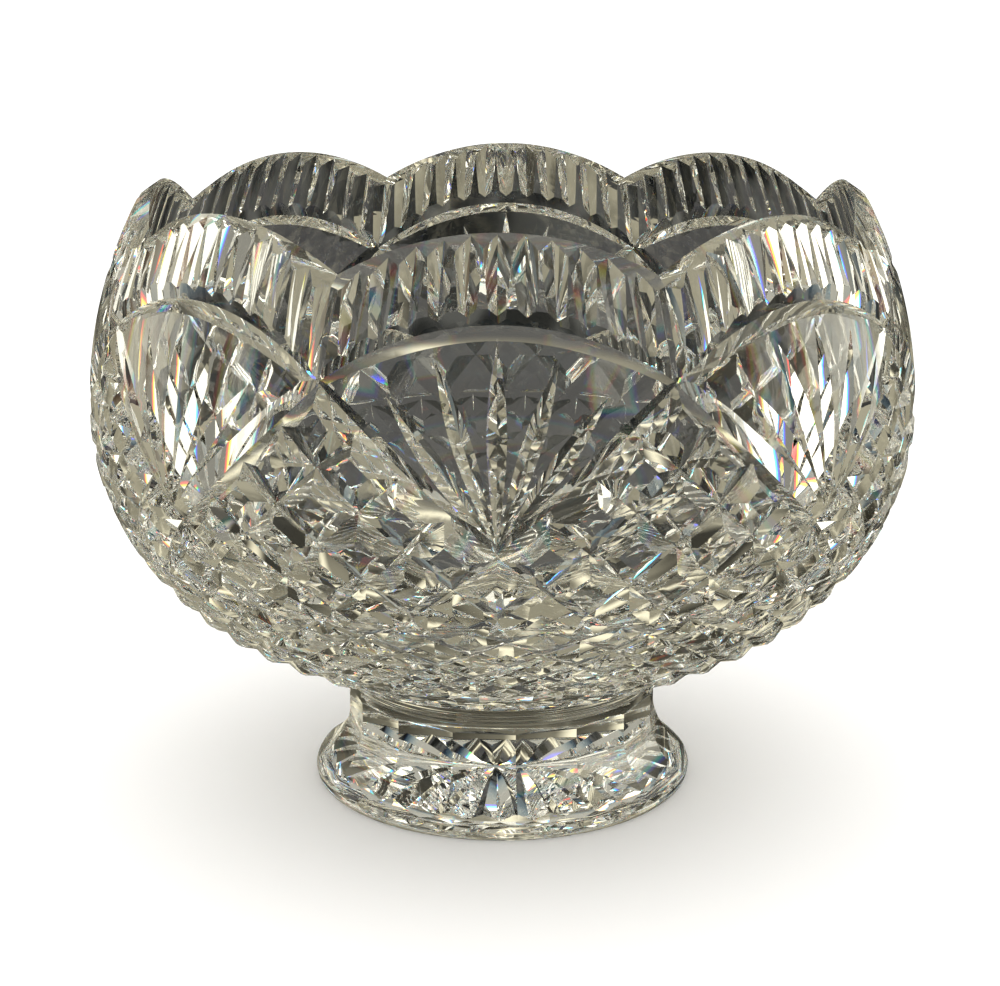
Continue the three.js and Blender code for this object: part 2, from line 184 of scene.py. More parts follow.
# Studio in the glass, in degrees from the back and above the horizon, and its tones. The
# patches at the back have their size on a sphere of radius 1.
BACK_EDGE = (44.0, 56.0)
BACK_DARK = (0.006, 0.008, 0.011)
BACK_LIGHT = (0.09, 0.094, 0.102)
BACK_PATCH_SIZE = 0.09
BACK_PATCH_EDGES = (0.45, 0.66)
BACK_PATCH_DETAIL = 1.0
SIDE_TONE = 0.26
FRONT_EDGE = (100.0, 130.0)
FRONT_TONE = 0.13
UPPER_EDGE = (14.0, 26.0)
UPPER_TONE = 0.42
FRINGE = 1.0
STUDIO_TINT = (1.0, 0.975, 0.84)

# Windows of the studio: middle, half width, lower edge and upper edge in degrees, brightness
WINDOW_BLUR = 1.2
WINDOWS = (
    (74.0, 15.0, -14.0, 20.0, 1.7),
    (-71.0, 13.0, -14.0, 18.0, 1.15),
    (102.0, 4.0, -6.0, 30.0, 1.4),
    (-104.0, 4.0, -6.0, 26.0, 1.2),
    (24.0, 4.0, 24.0, 44.0, 2.4),
    (-32.0, 5.0, 22.0, 40.0, 2.0),
    (150.0, 5.0, 8.0, 38.0, 1.4),
    (-142.0, 4.0, 12.0, 42.0, 1.4),
    (0.0, 181.0, 62.0, 74.0, 1.0),
)

# What the camera and the floor see
BACKGROUND_COLOR = (1.0, 1.0, 1.0)
SKY_COLOR = (1.3, 1.29, 1.27)
FLOOR_COLOR = (0.93, 0.925, 0.915)
FLOOR_ROUGHNESS = 0.9
FLOOR_SIDES = 96
FLOOR_RINGS = (100.0, 200.0)
FLOOR_CLEAR = 420.0
FLOOR_RADIUS = 900.0
FLOOR_DROP = 0.1

# Table that stands for the floor in the glass, glowing with painted light and shade: random light and
# dark patches, painted caustics near the bowl and a painted shadow behind it
TABLE_DARK = 0.035
TABLE_LIGHT = 0.3
TABLE_FRONT_TONE = 0.16
TABLE_FRONT = (-200.0, -420.0)
TABLE_SIDE_TONE = 0.36
TABLE_SIDE = (260.0, 420.0)
TABLE_TINT = (1.0, 0.935, 0.69)
PATCH_SIZE = 150.0
PATCH_EDGES = (0.42, 0.58)
PATCH_DETAIL = 2.0
PATCH_DISTORTION = 0.6
# Painted caustics: bright lines on the table near the bowl
PAINTED_CAUSTIC_CELL = 150.0
PAINTED_CAUSTIC_WIDTH = 0.045
PAINTED_CAUSTIC_BEND = (50.0, 50.0, 0.0)
PAINTED_CAUSTIC_TONE = 1.0
PAINTED_CAUSTIC_REACH = (300.0, 150.0)
# Painted shadow on the table behind the bowl
PAINTED_SHADOW_TONE = 0.075
PAINTED_SHADOW_SPREAD = 0.35
PAINTED_SHADOW_FRONT = (92.0, 106.0)
PAINTED_SHADOW_SIDE = (12.0, 34.0)

# Camera of the photograph, whose image is 1000 pixels wide
IMAGE_WIDTH = 1000
CAMERA_DISTANCE = 644.5
CAMERA_HEIGHT = 272.3
CAMERA_PITCH = 15.63
CAMERA_AZIMUTH = 0.65
FOCAL_PIXELS = 2115.5
AXIS_PIXEL = 502.4
SENSOR_WIDTH = 36.0

# Times that light may turn in the glass and on the floor
GLASS_BOUNCES = 32
MIRROR_BOUNCES = 16
FLOOR_BOUNCES = 2

sector_angle = 360 / SECTORS
column_angle = sector_angle / (2 * DIAMONDS_PER_SCALLOP)
base_column_angle = 360 / BASE_COLUMNS
flare_top = FOOT_EDGE + FLARE_HEIGHT
foot_top = flare_top + NECK_LENGTH
neck_top = foot_top + WAFER_HEIGHT
belly_height = neck_top + BELLY_RISE
rim_peak = neck_top + BOWL_HEIGHT
rim_valley = rim_peak - SCALLOP_RISE
junction_height = rim_valley - JUNCTION_DROP

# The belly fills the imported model's box, less a hair
belly_radius = (cad_box[1][0] - cad_box[0][0]) / 2 / MM - BOX_MARGIN
lower_reach = belly_radius - LOWER_CENTRE
lower_drop = BELLY_RISE / math.sqrt(1 - ((NECK_RADIUS - LOWER_CENTRE) / lower_reach) ** 2)
inner_belly = belly_radius - WALL
inner_drop = BELLY_RISE - FLOOR


def hollow(z):
    """How much slimmer than a round belly the underside is, deepest at a third of its reach"""
    share = np.clip((z - neck_top) / UNDER_REACH, 0, 1)
    return UNDER_HOLLOW * 27 / 4 * share * (1 - share) ** 2


def outer_radius(z):
    """Outer radius of the bowl at a height, before any cut"""
    rise = z - belly_height
    upper = belly_radius - SHOULDER_RADIUS + np.sqrt(SHOULDER_RADIUS**2 - np.maximum(rise, 0) ** 2)
    lower = LOWER_CENTRE + lower_reach * np.sqrt(1 - (np.minimum(rise, 0) / lower_drop) ** 2)
    return np.where(rise >= 0, upper, lower - hollow(z))


shoulder_rise = rim_peak - belly_height
shoulder_inset = inner_belly - (float(outer_radius(rim_peak)) - RIM_WALL)
inner_shoulder = (shoulder_rise**2 + shoulder_inset**2) / (2 * shoulder_inset)


def inner_radius(z):
    """Inner radius of the bowl at a height"""
    rise = z - belly_height
    upper = inner_belly - inner_shoulder + np.sqrt(inner_shoulder**2 - np.maximum(rise, 0) ** 2)
    share = np.clip(-rise / inner_drop, 0, 1)
    lower = FLOOR_CENTRE + (inner_belly - FLOOR_CENTRE) * np.sqrt(1 - share**2)
    return np.where(rise >= 0, upper, lower)


# The outer profile along its curve, from the neck upwards
profile_z = np.linspace(neck_top, rim_peak + 2 * AIR, PROFILE_STEPS)
profile_r = outer_radius(profile_z)
profile_arc = np.concatenate([[0], np.cumsum(np.hypot(np.diff(profile_r), np.diff(profile_z)))])


def arc_at(z):
    return float(np.interp(z, profile_z, profile_arc))


def radius_at(arc):
    return np.interp(arc, profile_arc, profile_r)


def height_at(arc):
    return np.interp(arc, profile_arc, profile_z)


junction_arc = arc_at(junction_height)
mould_arc = arc_at(neck_top + MOULD_RISE)
row_step = (junction_arc - mould_arc) / FIELD_ROWS
apex_arc = junction_arc - DIAMONDS_PER_SCALLOP * row_step
leaf_length = junction_arc + SWAG_RISE - FAN_TOP_GAP - apex_arc - FAN_LIFT


def on_circle(r, z, azimuth):
    """Points at radii, heights and azimuths in degrees"""
    a = np.radians(azimuth)
    r, z, a = np.broadcast_arrays(r, z, a)
    return np.stack([r * np.sin(a), -r * np.cos(a), z], -1)


def on_bowl(azimuth, arc):
    """Surface points of the bowl and their outward normals"""
    slope_r = np.interp(arc, profile_arc, np.gradient(profile_r, profile_arc))
    slope_z = np.interp(arc, profile_arc, np.gradient(profile_z, profile_arc))
    return on_circle(radius_at(arc), height_at(arc), azimuth), on_circle(slope_z, -slope_r, azimuth)


def make_object(name, parts):
    """Mesh object from (points, faces) pairs"""
    points, faces, start = [], [], 0
    for part_points, part_faces in parts:
        points.append(np.asarray(part_points))
        faces.extend([tuple(int(i) + start for i in face) for face in part_faces])
        start += len(part_points)
    mesh = bpy.data.meshes.new(name)
    mesh.from_pydata((np.concatenate(points) * MM).tolist(), [], faces)
    piece = bpy.data.objects.new(name, mesh)
    bpy.context.scene.collection.objects.link(piece)
    return piece


def ring_faces(rings, count, closed=False):
    """Quads between successive rings of equal count. A closed stack joins its ends."""
    faces = []
    for i in range(rings if closed else rings - 1):
        a, b = i * count, (i + 1) % rings * count
        for j in range(count):
            k = (j + 1) % count
            faces.append((a + j, a + k, b + k, b + j))
    return faces


def loft(rings):
    """Closed solid from rings of equal count, with flat ends"""
    rings = np.asarray(rings)
    layers, count = rings.shape[:2]
    first = tuple(range(count))[::-1]
    last = tuple(range((layers - 1) * count, layers * count))
    return rings.reshape(-1, 3), ring_faces(layers, count) + [first, last]


def lathe(outline, sides, turn=0.0):
    """Profile of (radius, height) pairs, turned round the axis and closed at its ends"""
    azimuths = turn + np.arange(sides) * 360 / sides
    return loft([on_circle(r, z, azimuths) for r, z in outline])


def groove(points, normals, depths, left_slope, right_slope):
    """V-shaped solid along surface points. Its walls open by the slopes, per depth."""
    depths = np.asarray(depths)[:, None]
    side = np.cross(normals, np.gradient(points, axis=0))
    side /= np.linalg.norm(side, axis=1, keepdims=True)
    height = depths + AIR
    top = points + AIR * normals
    bottom = points - depths * normals
    left = top + side * left_slope * height
    right = top - side * right_slope * height
    return loft(np.stack([bottom, left, right], 1))


def turned_copies(solid):
    """The same solid in every sector of the bowl"""
    points, faces = solid
    copies = []
    for k in range(SECTORS):
        a = math.radians(k * sector_angle)
        spin = np.array([[math.cos(a), math.sin(a), 0], [-math.sin(a), math.cos(a), 0], [0, 0, 1]])
        copies.append((points @ spin, faces))
    return copies


def combine(body, solids, operation="DIFFERENCE"):
    """Cuts the body by solids that don't meet each other, or keeps what is inside them"""
    tool = make_object("tool", solids)
    modifier = body.modifiers.new("combine", "BOOLEAN")
    modifier.operation = operation
    modifier.solver = "MANIFOLD"
    modifier.object = tool
    shape = body.evaluated_get(bpy.context.evaluated_depsgraph_get())
    before = body.data
    after = bpy.data.meshes.new_from_object(shape)
    body.modifiers.clear()
    body.data = after
    bpy.data.meshes.remove(before)
    bpy.data.objects.remove(tool)


def steps_for(length):
    return max(2, math.ceil(length / GROOVE_SPACING) + 1)


def chord_circle(chord, rise):
    """Radius of the circle that spans half a chord with a rise"""
    return (chord**2 + rise**2) / (2 * rise)


def swag_arc(azimuth):
    """Arc length at which a swag's bottom line runs, at an azimuth from its middle"""
    radius_there = float(outer_radius(junction_height))
    chord = math.radians(sector_angle / 2) * radius_there
    radius = chord_circle(chord, SWAG_RISE)
    x = np.minimum(chord, np.radians(np.abs(azimuth)) * radius_there)
    return junction_arc + SWAG_RISE - radius + np.sqrt(radius**2 - x**2)


def swag():
    """Curved mitre over one fan, shallower where it meets its neighbours"""
    t = np.linspace(-1, 1, steps_for(math.radians(sector_angle) * belly_radius))
    azimuth = t * sector_angle / 2
    share = 1 - (1 - SWAG_END_SHARE) * t**SWAG_END_SHARPNESS
    points, normals = on_bowl(azimuth, swag_arc(azimuth))
    slopes = SWAG_UPPER_WIDTH / SWAG_DEPTH, SWAG_LOWER_WIDTH / SWAG_DEPTH
    return groove(points, normals, SWAG_DEPTH * share, *slopes)


def flute(azimuth):
    """One upright flute: full depth at the rim, shallower at its tip above the swag"""
    tip, top = float(swag_arc(azimuth)) + FLUTE_LIFT, arc_at(rim_peak) + AIR
    t = np.linspace(0, 1, steps_for(top - tip))
    points, normals = on_bowl(np.full_like(t, azimuth), tip + (top - tip) * t)
    depths = FLUTE_TIP_DEPTH + (FLUTE_DEPTH - FLUTE_TIP_DEPTH) * np.sin(np.pi / 2 * t)
    slope = math.tan(math.radians(FLUTE_ANGLE / 2))
    return groove(points, normals, depths, slope, slope)


def leaf(number):
    """One leaf of a fan: 0 is upright, and the numbers grow to the right"""
    angle = math.radians(number * LEAF_STEP)
    length = leaf_length - LEAF_FALL * abs(number)
    t = np.linspace(0, 1, steps_for(length))
    swell = np.sin(np.pi * t**LEAF_SWELL) + LEAF_ROOT_SHARE * (1 - t)
    arc = apex_arc + FAN_LIFT + length * t * math.cos(angle)
    points, normals = on_bowl(np.degrees(length * t * math.sin(angle) / radius_at(arc)), arc)
    slope = LEAF_HALF_WIDTH / LEAF_DEPTH
    return groove(points, normals, LEAF_DEPTH * np.maximum(swell, LEAF_TIP_SHARE), slope, slope)


def lattice_groove(start, end, depths, left, right):
    """Groove between two places of the lattice, each a column and a row"""
    steps = steps_for(math.hypot(end[0] - start[0], end[1] - start[1]) * row_step)
    t = np.linspace(0, 1, steps)
    column = start[0] + (end[0] - start[0]) * t
    row = start[1] + (end[1] - start[1]) * t
    points, normals = on_bowl(column * column_angle, junction_arc - row * row_step)
    return groove(points, normals, np.interp(t, np.linspace(0, 1, len(depths)), depths), left, right)


def frame_arm(side):
    """One wide mitre of a fan's V, from the junction down to the apex"""
    start, end = (side * DIAMONDS_PER_SCALLOP, 0), (0, DIAMONDS_PER_SCALLOP)
    depths = [JUNCTION_DEPTH] + [FRAME_DEPTH] * DIAMONDS_PER_SCALLOP
    slopes = [FRAME_FIELD_WIDTH / FRAME_DEPTH, FRAME_FAN_WIDTH / FRAME_DEPTH]
    return lattice_groove(start, end, depths, *slopes[::side])


def field_mitres(side):
    """Mitres of the field that slant to one side, their upper ends on the frames"""
    slope = FIELD_HALF_WIDTH / FIELD_DEPTH
    solids = []
    for row in range(1, DIAMONDS_PER_SCALLOP + 1):
        start = DIAMONDS_PER_SCALLOP - side * row, row
        end = start[0] + side * (FIELD_ROWS - row), FIELD_ROWS
        solids += turned_copies(lattice_groove(start, end, [FIELD_DEPTH] * 2, slope, slope))
    return solids


def base_mitres(side):
    """Mitres below the mould line that slant to one side, and run out at both ends"""
    start = mould_arc - MOULD_BAND
    unit = (start - BASE_END) / (BASE_GROWTH**BASE_ROWS - 1)
    row = np.linspace(0, BASE_ROWS, BASE_ROWS * BASE_STEPS_PER_ROW + 1)
    arc = start - unit * (BASE_GROWTH**row - 1)
    step = -np.gradient(arc, row)
    column = math.radians(base_column_angle) * radius_at(arc)
    depth = BASE_SHARE * column * step / np.hypot(column, step) / BASE_SLOPE
    depth *= np.clip(np.minimum(row, BASE_ROWS - row) / BASE_RUNOUT_ROWS, BASE_END_SHARE, 1)
    solids = []
    for first in range(1, BASE_COLUMNS, 2):
        points, normals = on_bowl(BASE_TURN + (first + side * row) * base_column_angle, arc)
        solids.append(groove(points, normals, depth, BASE_SLOPE, BASE_SLOPE))
    return solids


def ticks():
    """Short upright cuts under the mould line, one on each column of the lower diamonds"""
    t = np.linspace(0, 1, TICK_STEPS)
    arc = mould_arc - MOULD_BAND / 2 - TICK_LENGTH * t
    depths = TICK_DEPTH * np.sin(np.pi * t) + TICK_END_DEPTH
    solids = []
    for column in range(BASE_COLUMNS):
        points, normals = on_bowl(np.full_like(t, BASE_TURN + column * base_column_angle), arc)
        solids.append(groove(points, normals, depths, TICK_SLOPE, TICK_SLOPE))
    return solids


def crest(azimuth):
    """Height of the rim's crest: one arc from valley to valley"""
    away = np.abs((azimuth + sector_angle / 2) % sector_angle - sector_angle / 2)
    valley_radius = float(inner_radius(rim_valley))
    radius = chord_circle(math.radians(sector_angle / 2) * valley_radius, SCALLOP_RISE)
    return rim_peak - radius + np.sqrt(radius**2 - (np.radians(away) * valley_radius) ** 2)


def rim_cutter():
    """Everything above the scalloped crest: level inside the crest, a bevel outside it"""
    steps = CREST_STEPS_PER_FLUTE * FLUTES_PER_SCALLOP * SECTORS
    azimuth = np.arange(steps) * 360 / steps
    z = crest(azimuth)
    r = inner_radius(z)
    near, far = inner_belly / 2, belly_radius + WALL
    under = z + math.tan(math.radians(BEVEL_SLOPE)) * (r - far)
    top = rim_peak + far
    corners = [(near, z), (r, z), (far, under), (far, top), (near, top)]
    rings = np.stack([on_circle(cr, cz, azimuth) for cr, cz in corners])
    return rings.reshape(-1, 3), ring_faces(len(corners), steps, closed=True)


def bowl_body():
    """Bowl before its cuts, with a fine notch all round at the mould line"""
    notch = [mould_arc - MOULD_LINE_WIDTH, mould_arc, mould_arc + MOULD_LINE_WIDTH]
    plain = [a for a in np.arange(0, profile_arc[-1], RING_SPACING) if abs(a - mould_arc) > RING_SPACING]
    outline = []
    for arc in sorted(plain + notch) + [profile_arc[-1]]:
        depth = MOULD_LINE_DEPTH if arc == mould_arc else 0
        outline.append((float(radius_at(arc)) - depth, float(height_at(arc))))
    for z in np.linspace(outline[-1][1], belly_height, INNER_WALL_STEPS)[:-1]:
        outline.append((float(inner_radius(z)), z))
    for turn in np.linspace(0, math.pi / 2, INNER_BASE_STEPS):
        z = belly_height - inner_drop * math.sin(turn)
        outline.append((float(inner_radius(z)), z))
    for share in FLOOR_RING_SHARES:
        outline.append((FLOOR_CENTRE * share, belly_height - inner_drop))
    return lathe(outline, TURN_STEPS)


def make_bowl():
    """Bowl with all its cuts. The solids of one group don't meet each other."""
    bowl = make_object("crystal_bowl", [bowl_body()])
    shares = [i / FLUTES_PER_SCALLOP - 0.5 for i in range(FLUTES_PER_SCALLOP)]
    flutes = [flute(sector_angle * share) for share in shares]
    swags = turned_copies(swag())
    leaves = [leaf(number) for number in range(-LEAVES_EACH_SIDE, LEAVES_EACH_SIDE + 1)]
    groups = [
        [rim_cutter()],
        [copy for solid in flutes[0::2] for copy in turned_copies(solid)],
        [copy for solid in flutes[1::2] for copy in turned_copies(solid)],
        swags[0::2],
        swags[1::2],
        *[turned_copies(solid) for solid in leaves],
        *[turned_copies(frame_arm(side)) for side in (-1, 1)],
        *[field_mitres(side) for side in (-1, 1)],
        *[base_mitres(side) for side in (-1, 1)],
        ticks(),
    ]
    for solids in groups:
        combine(bowl, solids)
    return bowl


def flare_radius(z):
    """Ridges of the facets on the flare, from the edge up to the neck"""
    t = np.clip((flare_top - z) / FLARE_HEIGHT, 0, 1)
    return FOOT_RADIUS - (FOOT_RADIUS - NECK_RADIUS) * (1 - t**FLARE_POWER) ** (1 / FLARE_POWER)


def round_foot():
    """Foot before its facets: a rounded edge, then a cone that the facets cut back"""
    ring_outer = FOOT_RADIUS - EDGE_INSET
    outline = [(CAP_RADIUS, 0), (ring_outer, 0)]
    for a in np.linspace(0, math.pi / 2, EDGE_STEPS)[1:]:
        height = (1 - math.cos(a)) * (FOOT_EDGE - EDGE_ROUND)
        outline.append((ring_outer + EDGE_INSET * math.sin(a), height))
    outline += [
        (FOOT_RADIUS - EDGE_ROUND * EDGE_ROUND_SHARE, FOOT_EDGE),
        (FOOT_RADIUS - EDGE_ROUND, FOOT_EDGE + EDGE_ROUND),
        (NECK_RADIUS, foot_top - FACET_RUNOUT),
        (NECK_RADIUS, foot_top),
        (CAP_RADIUS, foot_top),
    ]
    return lathe(outline, TURN_STEPS)


def facets():
    """Many-sided solid that leaves flat facets on the foot where it cuts into it"""
    clear = FOOT_RADIUS + AIR
    heights = FOOT_EDGE + FLARE_HEIGHT * (1 - np.cos(np.linspace(0, math.pi / 2, FLARE_STEPS)))
    corner = NECK_RADIUS / math.cos(math.pi / FOOT_FACETS)
    outline = [
        (CAP_RADIUS, -AIR),
        (clear, -AIR),
        (clear, FOOT_EDGE - EDGE_ROUND / 2),
        *[(float(flare_radius(z)), float(z)) for z in heights],
        (NECK_RADIUS, foot_top - FACET_RUNOUT),
        (corner + 2 * AIR, foot_top + AIR),
        (CAP_RADIUS, foot_top + AIR),
    ]
    return lathe(outline, FOOT_FACETS, FOOT_TURN)


def star():
    """Hollow under the foot, a low dome folded into the rays of a star"""
    radius = FOOT_RADIUS - RING_INSET - RING_WIDTH
    azimuth = FOOT_TURN + np.arange(2 * STAR_RAYS) * 180 / STAR_RAYS
    even = (np.arange(2 * STAR_RAYS) + 1) % 2
    rings = [on_circle(radius, -AIR, azimuth)]
    for share, fold in ((1, STAR_EDGE_DEPTH), (STAR_DEEPEST, STAR_DEPTH), (STAR_CENTRE, 0)):
        dome = DOME_EDGE + (DOME_RISE - DOME_EDGE) * (1 - share**2)
        rings.append(on_circle(radius * share, dome + even * fold, azimuth))
    return loft(rings)


def make_foot():
    foot = make_object("crystal_foot", [round_foot()])
    combine(foot, [facets()], "INTERSECT")
    combine(foot, [star()])
    return foot


def make_wafer():
    bottom, height = foot_top + WELD_GAP, WAFER_HEIGHT - 2 * WELD_GAP
    steps = WAFER_STEPS_PER_RING * WAFER_RINGS
    outline = [(CAP_RADIUS, bottom)]
    for i in range(steps + 1):
        ripple = WAFER_RING_DEPTH * math.sin(math.pi * WAFER_RINGS * i / steps) ** 2
        outline.append((NECK_RADIUS - ripple, bottom + height * i / steps))
    outline.append((CAP_RADIUS, bottom + height))
    return make_object("crystal_wafer", [lathe(outline, TURN_STEPS)])


def finish_mesh(piece, weld_heights):
    """Smooth shading with crisp creases. The flat faces at the welds get the second material."""
    mesh = piece.data
    mesh.polygons.foreach_set("use_smooth", [True] * len(mesh.polygons))
    mesh.set_sharp_from_angle(angle=math.radians(CREASE_ANGLE))
    for polygon in mesh.polygons:
        level = abs(polygon.normal.z) > LEVEL_NORMAL
        height = polygon.center.z / MM
        at_weld = any(abs(height - weld) < 2 * WELD_GAP for weld in weld_heights)
        polygon.material_index = 1 if level and at_weld else 0


def grey(tone):
    return tone, tone, tone


def add_node(tree, kind, **settings):
    node = tree.nodes.new(kind)
    for key, value in settings.items():
        setattr(node, key, value)
    return node


def feed(tree, socket, value):
    """Sets a socket to a number or colour, or links another node's output to it"""
    if isinstance(value, bpy.types.NodeSocket):
        tree.links.new(value, socket)
    elif isinstance(value, tuple) and socket.type == "RGBA":
        socket.default_value = (*value, 1)
    else:
        socket.default_value = value


def calculate(tree, operation, *values):
    node = add_node(tree, "ShaderNodeMath", operation=operation)
    for socket, value in zip(node.inputs, values):
        feed(tree, socket, value)
    return node.outputs[0]


def ramp(tree, value, low, high):
    """0 at low and 1 at high, with soft ends. It runs down where high is the lower one."""
    node = add_node(tree, "ShaderNodeMapRange", interpolation_type="SMOOTHSTEP")
    falling = high < low
    feed(tree, node.inputs["Value"], value)
    feed(tree, node.inputs["From Min"], min(low, high))
    feed(tree, node.inputs["From Max"], max(low, high))
    feed(tree, node.inputs["To Min"], float(falling))
    feed(tree, node.inputs["To Max"], float(not falling))
    return node.outputs["Result"]


def ramp_mm(tree, value, low, high):
    """The same for a place on the floor, which a shader knows in metres"""
    return ramp(tree, value, low * MM, high * MM)


def mix_colors(tree, share, first, second, blend="MIX"):
    node = add_node(tree, "ShaderNodeMix", data_type="RGBA", blend_type=blend)
    feed(tree, node.inputs["Factor"], share)
    feed(tree, node.inputs["A"], first)
    feed(tree, node.inputs["B"], second)
    return node.outputs["Result"]


def add_noise(tree, place, size, detail, distortion=0.0):
    node = add_node(tree, "ShaderNodeTexNoise")
    feed(tree, node.inputs["Vector"], place)
    feed(tree, node.inputs["Scale"], 1 / size)
    feed(tree, node.inputs["Detail"], detail)
    feed(tree, node.inputs["Distortion"], distortion)
    return node


def add_place(tree, kind):
    """Coordinates of a kind, and their three numbers"""
    place = add_node(tree, "ShaderNodeTexCoord").outputs[kind]
    split = add_node(tree, "ShaderNodeSeparateXYZ")
    feed(tree, split.inputs[0], place)
    return place, split.outputs


def clear_material(name, color, ior):
    """Material that light goes through without any blur"""
    material = bpy.data.materials.new(name)
    material.use_nodes = True
    tree = material.node_tree
    shader = tree.nodes["Principled BSDF"]
    feed(tree, shader.inputs["Base Color"], color)
    feed(tree, shader.inputs["Roughness"], 0.0)
    feed(tree, shader.inputs["IOR"], ior)
    feed(tree, shader.inputs["Transmission Weight"], 1.0)
    return material, tree, shader


def crystal_material():
    """Polished lead crystal, slightly wavy where the cuts were polished with acid"""
    material, tree, shader = clear_material("crystal", CRYSTAL_COLOR, CRYSTAL_IOR)
    place, _ = add_place(tree, "Object")
    normal = None
    for size, height, detail in RIPPLES:
        bump = add_node(tree, "ShaderNodeBump")
        feed(tree, bump.inputs["Strength"], 1.0)
        feed(tree, bump.inputs["Distance"], height * MM)
        feed(tree, bump.inputs["Height"], add_noise(tree, place, size * MM, detail).outputs["Fac"])
        if normal:
            feed(tree, bump.inputs["Normal"], normal)
        normal = bump.outputs["Normal"]
    feed(tree, shader.inputs["Normal"], normal)
    return material


def weld_material():
    """The faces inside a weld, where light goes straight on from glass to glass"""
    return clear_material("weld", (1.0, 1.0, 1.0), 1.0)[0]


def studio_channel(tree, azimuth, elevation, back):
    """Brightness of the studio in one direction, in degrees: walls, then the windows"""
    away = calculate(tree, "ABSOLUTE", azimuth)
    tone = mix_colors(tree, ramp(tree, away, *BACK_EDGE), back, grey(SIDE_TONE))
    tone = mix_colors(tree, ramp(tree, away, *FRONT_EDGE), tone, grey(FRONT_TONE))
    tone = mix_colors(tree, ramp(tree, elevation, *UPPER_EDGE), tone, grey(UPPER_TONE))
    for middle, half_width, low, high, brightness in WINDOWS:
        offset = calculate(tree, "ABSOLUTE", calculate(tree, "SUBTRACT", azimuth, middle))
        across = ramp(tree, offset, half_width + WINDOW_BLUR, half_width)
        above = ramp(tree, elevation, low - WINDOW_BLUR, low)
        below = ramp(tree, elevation, high + WINDOW_BLUR, high)
        inside = calculate(tree, "MULTIPLY", across, calculate(tree, "MULTIPLY", above, below))
        tone = mix_colors(tree, inside, tone, grey(brightness))
    return tone


def studio_world():
    """White to the camera, an even sky to the floor, and a studio with windows in the glass.
    The windows' edges are a little apart in red, green and blue, as cut crystal shows them."""
    world = bpy.data.worlds.new("studio")
    world.use_nodes = True
    world.cycles.sampling_method = "NONE"
    bpy.context.scene.world = world
    tree = world.node_tree
    tree.nodes.clear()
    direction, (x, y, z) = add_place(tree, "Generated")
    azimuth = calculate(tree, "DEGREES", calculate(tree, "ARCTAN2", x, y))
    elevation = calculate(tree, "DEGREES", calculate(tree, "ARCSINE", z))
    cloud = add_noise(tree, direction, BACK_PATCH_SIZE, BACK_PATCH_DETAIL)
    patch = ramp(tree, cloud.outputs["Fac"], *BACK_PATCH_EDGES)
    joined = add_node(tree, "ShaderNodeCombineColor")
    channels = zip(joined.inputs, (-FRINGE, 0.0, FRINGE), BACK_DARK, BACK_LIGHT)
    for socket, shift, dark, light in channels:
        shifted = [calculate(tree, "ADD", angle, shift) for angle in (azimuth, elevation)]
        back = mix_colors(tree, patch, grey(dark), grey(light))
        feed(tree, socket, studio_channel(tree, *shifted, back))
    studio = mix_colors(tree, 1.0, joined.outputs[0], STUDIO_TINT, "MULTIPLY")
    path = add_node(tree, "ShaderNodeLightPath")
    color = mix_colors(tree, path.outputs["Is Diffuse Ray"], studio, SKY_COLOR)
    color = mix_colors(tree, path.outputs["Is Camera Ray"], color, BACKGROUND_COLOR)
    lights = add_node(tree, "ShaderNodeBackground")
    feed(tree, lights.inputs["Color"], color)
    output = add_node(tree, "ShaderNodeOutputWorld")
    feed(tree, output.inputs["Surface"], lights.outputs[0])


def painted_table_light(tree, place, x, y, away):
    """Painted light and shade of the table that the glass shows, which the floor emits: random patches,
    painted caustics, paler sides, a painted shadow behind the bowl
    """
    across = calculate(tree, "ABSOLUTE", x)
    # Random light and dark patches: painted light and shade on the glowing table
    patches = add_noise(tree, place, PATCH_SIZE * MM, PATCH_DETAIL, PATCH_DISTORTION)
    patch = ramp(tree, patches.outputs["Fac"], *PATCH_EDGES)
    color = mix_colors(tree, patch, grey(TABLE_DARK), grey(TABLE_LIGHT))
    # Painted light: the table is paler towards the sides and takes a set tone towards the front
    color = mix_colors(tree, ramp_mm(tree, across, *TABLE_SIDE), color, grey(TABLE_SIDE_TONE))
    color = mix_colors(tree, ramp_mm(tree, y, *TABLE_FRONT), color, grey(TABLE_FRONT_TONE))

    # Painted caustics: bright lines near the bowl, like light that the glass would focus on the table
    bend = add_node(tree, "ShaderNodeVectorMath", operation="MULTIPLY_ADD")
    feed(tree, bend.inputs[0], patches.outputs["Color"])
    feed(tree, bend.inputs[1], tuple(part * MM for part in PAINTED_CAUSTIC_BEND))
    feed(tree, bend.inputs[2], place)
    cells = add_node(tree, "ShaderNodeTexVoronoi", feature="DISTANCE_TO_EDGE")
    feed(tree, cells.inputs["Vector"], bend.outputs[0])
    feed(tree, cells.inputs["Scale"], 1 / (PAINTED_CAUSTIC_CELL * MM))
    near_edge = ramp(tree, cells.outputs["Distance"], PAINTED_CAUSTIC_WIDTH, 0.0)
    painted_caustic = calculate(tree, "MULTIPLY", near_edge, ramp_mm(tree, away, *PAINTED_CAUSTIC_REACH))
    color = mix_colors(tree, painted_caustic, color, grey(PAINTED_CAUSTIC_TONE))
    color = mix_colors(tree, 1.0, color, TABLE_TINT, "MULTIPLY")

    # Painted shadow: a dark wedge on the table behind the bowl that widens away from it
    past_edge = calculate(tree, "SUBTRACT", across, calculate(tree, "MULTIPLY", y, PAINTED_SHADOW_SPREAD))
    behind = ramp_mm(tree, y, *PAINTED_SHADOW_FRONT)
    painted_shadow = calculate(tree, "MULTIPLY", behind, ramp_mm(tree, past_edge, *PAINTED_SHADOW_SIDE[::-1]))
    return mix_colors(tree, painted_shadow, color, grey(PAINTED_SHADOW_TONE))


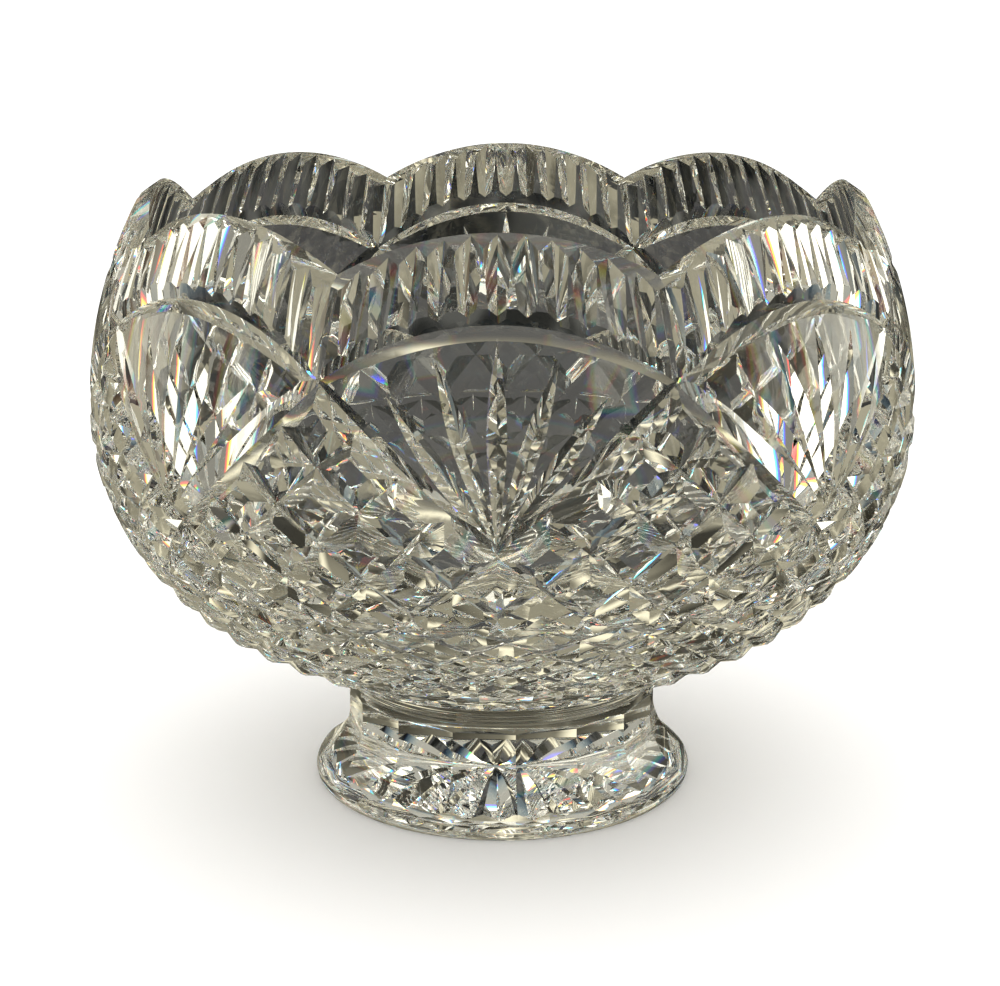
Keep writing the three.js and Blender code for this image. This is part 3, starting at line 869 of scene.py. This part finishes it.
def make_floor():
    """Pale round floor that fades out towards its edge. The glass shows in its place a table that glows
    with painted light and shade.
    """
    radii = [CAP_RADIUS, *FLOOR_RINGS, FLOOR_CLEAR, FLOOR_RADIUS]
    azimuths = np.arange(FLOOR_SIDES) * 360 / FLOOR_SIDES
    rings = np.stack([on_circle(r, -FLOOR_DROP, azimuths) for r in radii])
    faces = [face[::-1] for face in ring_faces(len(radii), FLOOR_SIDES)] + [tuple(range(FLOOR_SIDES))]
    floor = make_object("floor", [(rings.reshape(-1, 3), faces)])
    material = bpy.data.materials.new("pale_floor_with_painted_table")
    material.use_nodes = True
    tree = material.node_tree
    shader = tree.nodes["Principled BSDF"]
    feed(tree, shader.inputs["Base Color"], FLOOR_COLOR)
    feed(tree, shader.inputs["Roughness"], FLOOR_ROUGHNESS)
    place, (x, y, _) = add_place(tree, "Object")
    length = add_node(tree, "ShaderNodeVectorMath", operation="LENGTH")
    feed(tree, length.inputs[0], place)
    away = length.outputs["Value"]
    feed(tree, shader.inputs["Alpha"], ramp_mm(tree, away, FLOOR_RADIUS, FLOOR_CLEAR))
    # Painted light: to the glass the floor glows with the painted table instead of being lit
    glow = add_node(tree, "ShaderNodeEmission")
    feed(tree, glow.inputs["Color"], painted_table_light(tree, place, x, y, away))
    path = add_node(tree, "ShaderNodeLightPath").outputs
    in_glass = calculate(tree, "MAXIMUM", path["Is Transmission Ray"], path["Is Glossy Ray"])
    choose = add_node(tree, "ShaderNodeMixShader")
    for socket, value in zip(choose.inputs, (in_glass, shader.outputs[0], glow.outputs[0])):
        feed(tree, socket, value)
    feed(tree, tree.nodes["Material Output"].inputs["Surface"], choose.outputs[0])
    floor.data.materials.append(material)


def make_camera():
    data = bpy.data.cameras.new("camera")
    data.sensor_width = SENSOR_WIDTH
    data.lens = FOCAL_PIXELS / IMAGE_WIDTH * SENSOR_WIDTH
    data.shift_x = (IMAGE_WIDTH / 2 - AXIS_PIXEL) / IMAGE_WIDTH
    camera = bpy.data.objects.new("camera", data)
    camera.location = Vector(on_circle(CAMERA_DISTANCE, CAMERA_HEIGHT, CAMERA_AZIMUTH).tolist()) * MM
    camera.rotation_euler = (math.radians(90 - CAMERA_PITCH), 0, math.radians(CAMERA_AZIMUTH))
    bpy.context.scene.collection.objects.link(camera)
    bpy.context.scene.camera = camera


make_camera()
studio_world()
make_floor()
materials = crystal_material(), weld_material()
for piece, node, slot, welds in (
    (make_bowl(), "bowl", "crystal_bowl", (neck_top,)),
    (make_wafer(), "neck_wafer", "crystal_wafer", (foot_top, neck_top)),
    (make_foot(), "foot", "crystal_foot", (foot_top,)),
):
    piece.data.materials.clear()
    for material in materials:
        piece.data.materials.append(material)
    finish_mesh(piece, welds)
    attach(piece, "root")
    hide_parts(node)

scene = bpy.context.scene
scene.view_settings.view_transform = "Standard"
scene.view_settings.look = "Medium High Contrast"
scene.cycles.max_bounces = GLASS_BOUNCES
scene.cycles.transmission_bounces = GLASS_BOUNCES
scene.cycles.glossy_bounces = MIRROR_BOUNCES
scene.cycles.diffuse_bounces = FLOOR_BOUNCES
